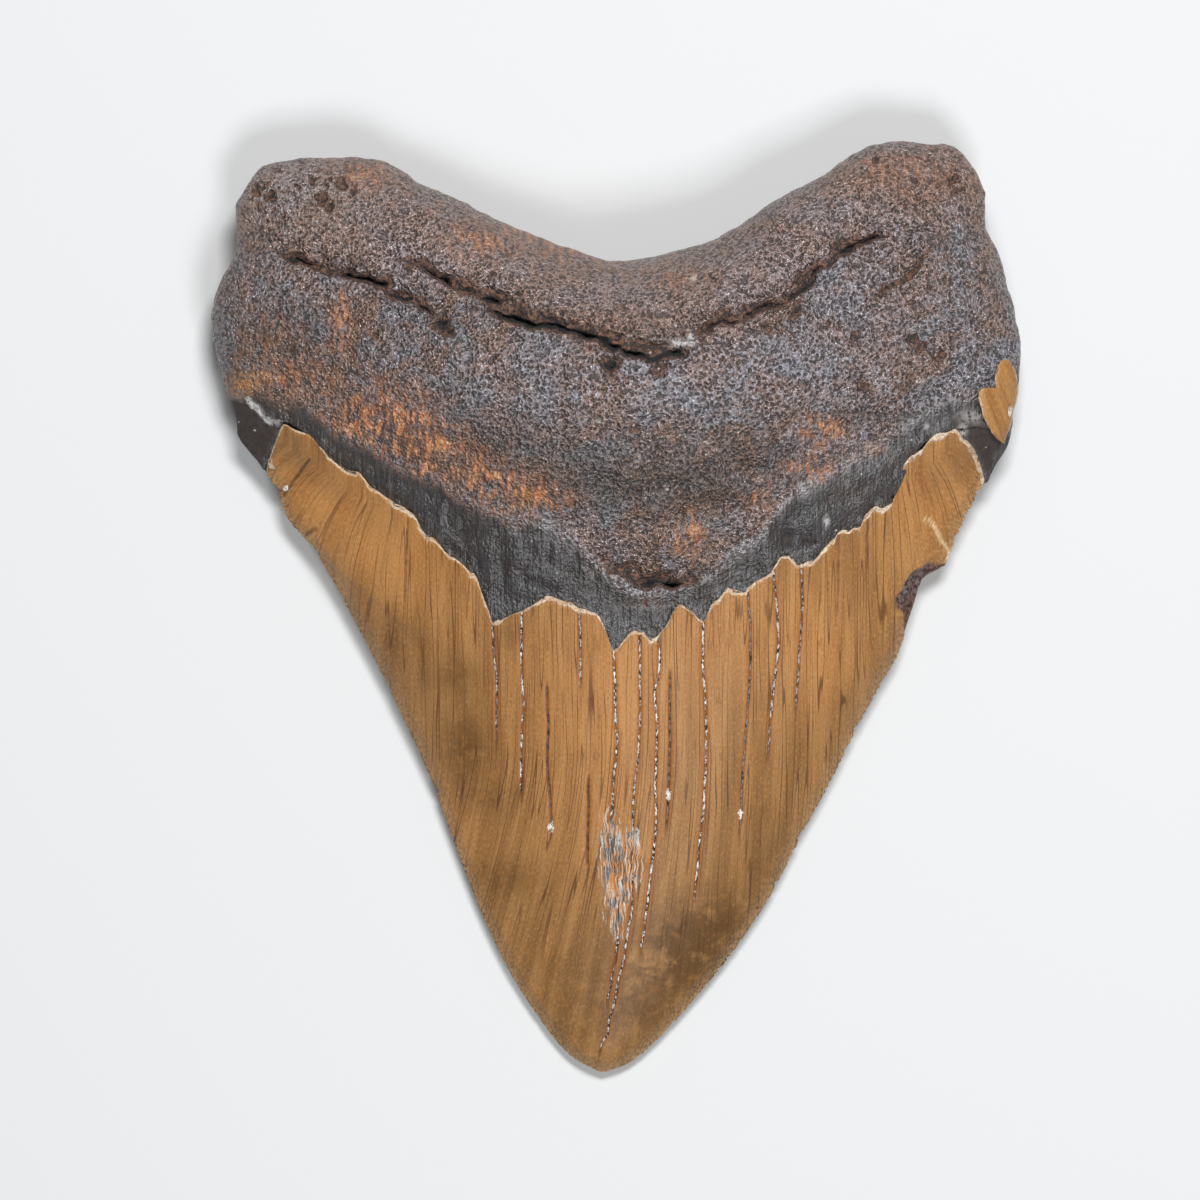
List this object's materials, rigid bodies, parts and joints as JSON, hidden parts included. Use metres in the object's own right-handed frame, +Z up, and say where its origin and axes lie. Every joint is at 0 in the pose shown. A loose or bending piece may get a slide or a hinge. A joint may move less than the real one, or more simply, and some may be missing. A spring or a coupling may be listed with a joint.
{
  "type": "megalodon tooth",
  "caption": "Fossil shark tooth: a broad triangular serrated blade under a thick dark root with rounded lobes, lying on its flatter face.",
  "frame": {"origin": "centre of the bounding box, on the surface that the tooth lies on", "axes": "+Z up out of the bulging tongue-side face, +Y from the tip to the root, +X to the right lobe seen from above"},
  "size_m": [0.1156, 0.1332, 0.0278],
  "materials": {
    "root": "satin",
    "enamel": "polished"
  },
  "bodies": {
    "root": {"tooth": "root"}
  },
  "joints": []
}
